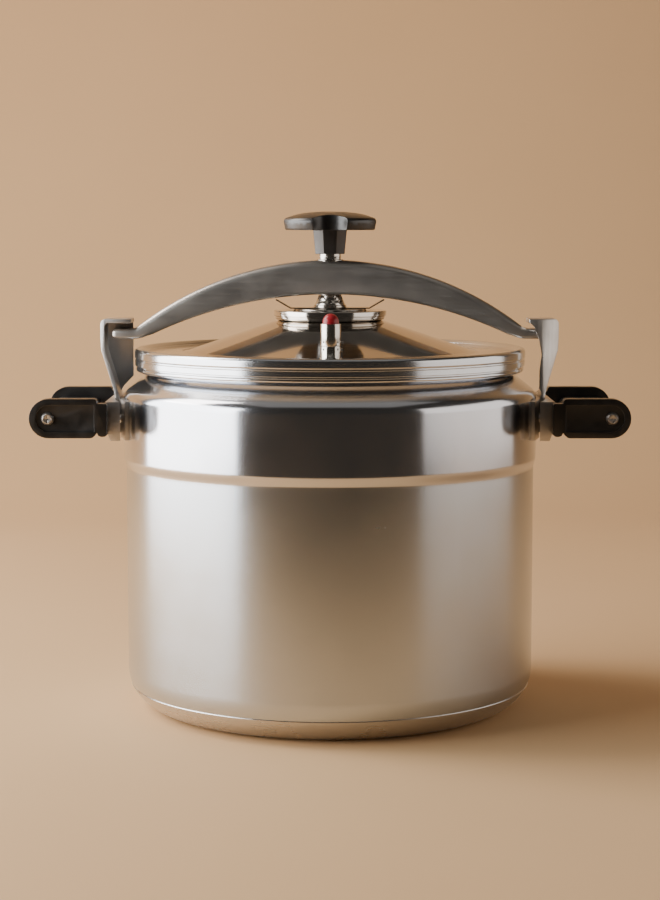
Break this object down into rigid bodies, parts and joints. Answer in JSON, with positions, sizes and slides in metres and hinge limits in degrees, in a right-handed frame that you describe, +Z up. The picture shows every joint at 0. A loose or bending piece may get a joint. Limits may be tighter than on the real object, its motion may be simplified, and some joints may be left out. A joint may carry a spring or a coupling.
{
  "type": "pressure canner",
  "caption": "Large stove-top steel pressure canner with a conical lid, an arched clamp bar under two hook posts, a screw knob, a steam valve and black side handles.",
  "frame": {"origin": "centre of the base's bottom face, on the floor", "axes": "+Z up along the pot's axis, X along the arch and through both handles, -Y towards the working valve"},
  "size_m": [0.4284, 0.3034, 0.3643],
  "materials": {
    "pot_steel": "satin polished stainless steel",
    "base_steel": "satin stainless steel cap of the sandwich base",
    "lid_steel": "mirror polished stainless steel",
    "bracket_steel": "polished stainless steel sheet and block",
    "cast_alloy": "brushed cast aluminium with polished edges",
    "hardware_steel": "bright turned steel",
    "spring_steel": "dull spring steel",
    "valve_steel": "polished turned steel",
    "black_bakelite": "glossy black phenolic moulding",
    "red_silicone": "red button",
    "gasket_silicone": "translucent white silicone",
    "black_rubber": "black rubber washer"
  },
  "bodies": {
    "pot": {"pot_shell": "pot_steel", "base_plate": "base_steel", "saddle_left": "bracket_steel", "saddle_right": "bracket_steel", "hook_left": "bracket_steel", "hook_right": "bracket_steel", "clamp_block_left": "bracket_steel", "clamp_block_right": "bracket_steel", "bracket_rivets_left": "hardware_steel", "bracket_rivets_right": "hardware_steel", "arm_left_front": "black_bakelite", "arm_left_rear": "black_bakelite", "arm_right_front": "black_bakelite", "arm_right_rear": "black_bakelite", "foot_screws_left": "hardware_steel", "foot_screws_right": "hardware_steel", "grip_left": "black_bakelite", "grip_right": "black_bakelite", "grip_screws_left": "hardware_steel", "grip_screws_right": "hardware_steel"},
    "lid": {"lid_shell": "lid_steel", "lid_gasket": "gasket_silicone", "centre_disc": "lid_steel", "disc_washer": "black_rubber", "disc_nut": "hardware_steel", "valve_body": "valve_steel", "valve_cap": "valve_steel", "valve_seal": "black_rubber", "valve_nut": "hardware_steel", "valve_spring": "spring_steel", "relief_body": "valve_steel", "relief_seal": "black_rubber", "relief_nut": "hardware_steel", "relief_spring": "spring_steel"},
    "swing_collar": {"thrust_washer": "hardware_steel", "arch_spring": "spring_steel"},
    "arch": {"arch_bar": "cast_alloy", "arch_bush": "hardware_steel"},
    "knob": {"knob": "black_bakelite", "screw_spindle": "hardware_steel", "spindle_clip": "spring_steel"},
    "valve_stem": {"valve_stem": "hardware_steel", "valve_button": "red_silicone"},
    "relief_pin": {"relief_pin": "hardware_steel"}
  },
  "joints": [
    {"name": "lid_lift", "type": "slide", "parent": "pot", "child": "lid", "axis": [0, 0, 1], "range_m": [0, 0.15]},
    {"name": "arch_swing", "type": "hinge", "parent": "lid", "child": "swing_collar", "pos_m": [0, 0, 0.295], "axis": [0, 0, 1], "range_deg": [0, 75]},
    {"name": "arch_rise", "type": "slide", "parent": "swing_collar", "child": "arch", "axis": [0, 0, 1], "range_m": [0, 0.004]},
    {"name": "knob_turn", "type": "hinge", "parent": "lid", "child": "knob", "pos_m": [0, 0, 0.35], "axis": [0, 0, -1], "range_deg": [0, 720.1]},
    {"name": "valve_stem_rise", "type": "slide", "parent": "lid", "child": "valve_stem", "axis": [0, 0, 1], "range_m": [0, 0.003], "stiffness_N_per_m": 400, "springref_m": -0.002, "deforming": ["valve_spring"]},
    {"name": "relief_pin_rise", "type": "slide", "parent": "lid", "child": "relief_pin", "axis": [0, 0, 1], "range_m": [0, 0.002], "stiffness_N_per_m": 1200, "springref_m": -0.003, "deforming": ["relief_spring"]}
  ],
  "couplings": [
    {"joint": "knob_turn", "follows": "arch_rise", "rad_per_m": 3141.6}
  ]
}
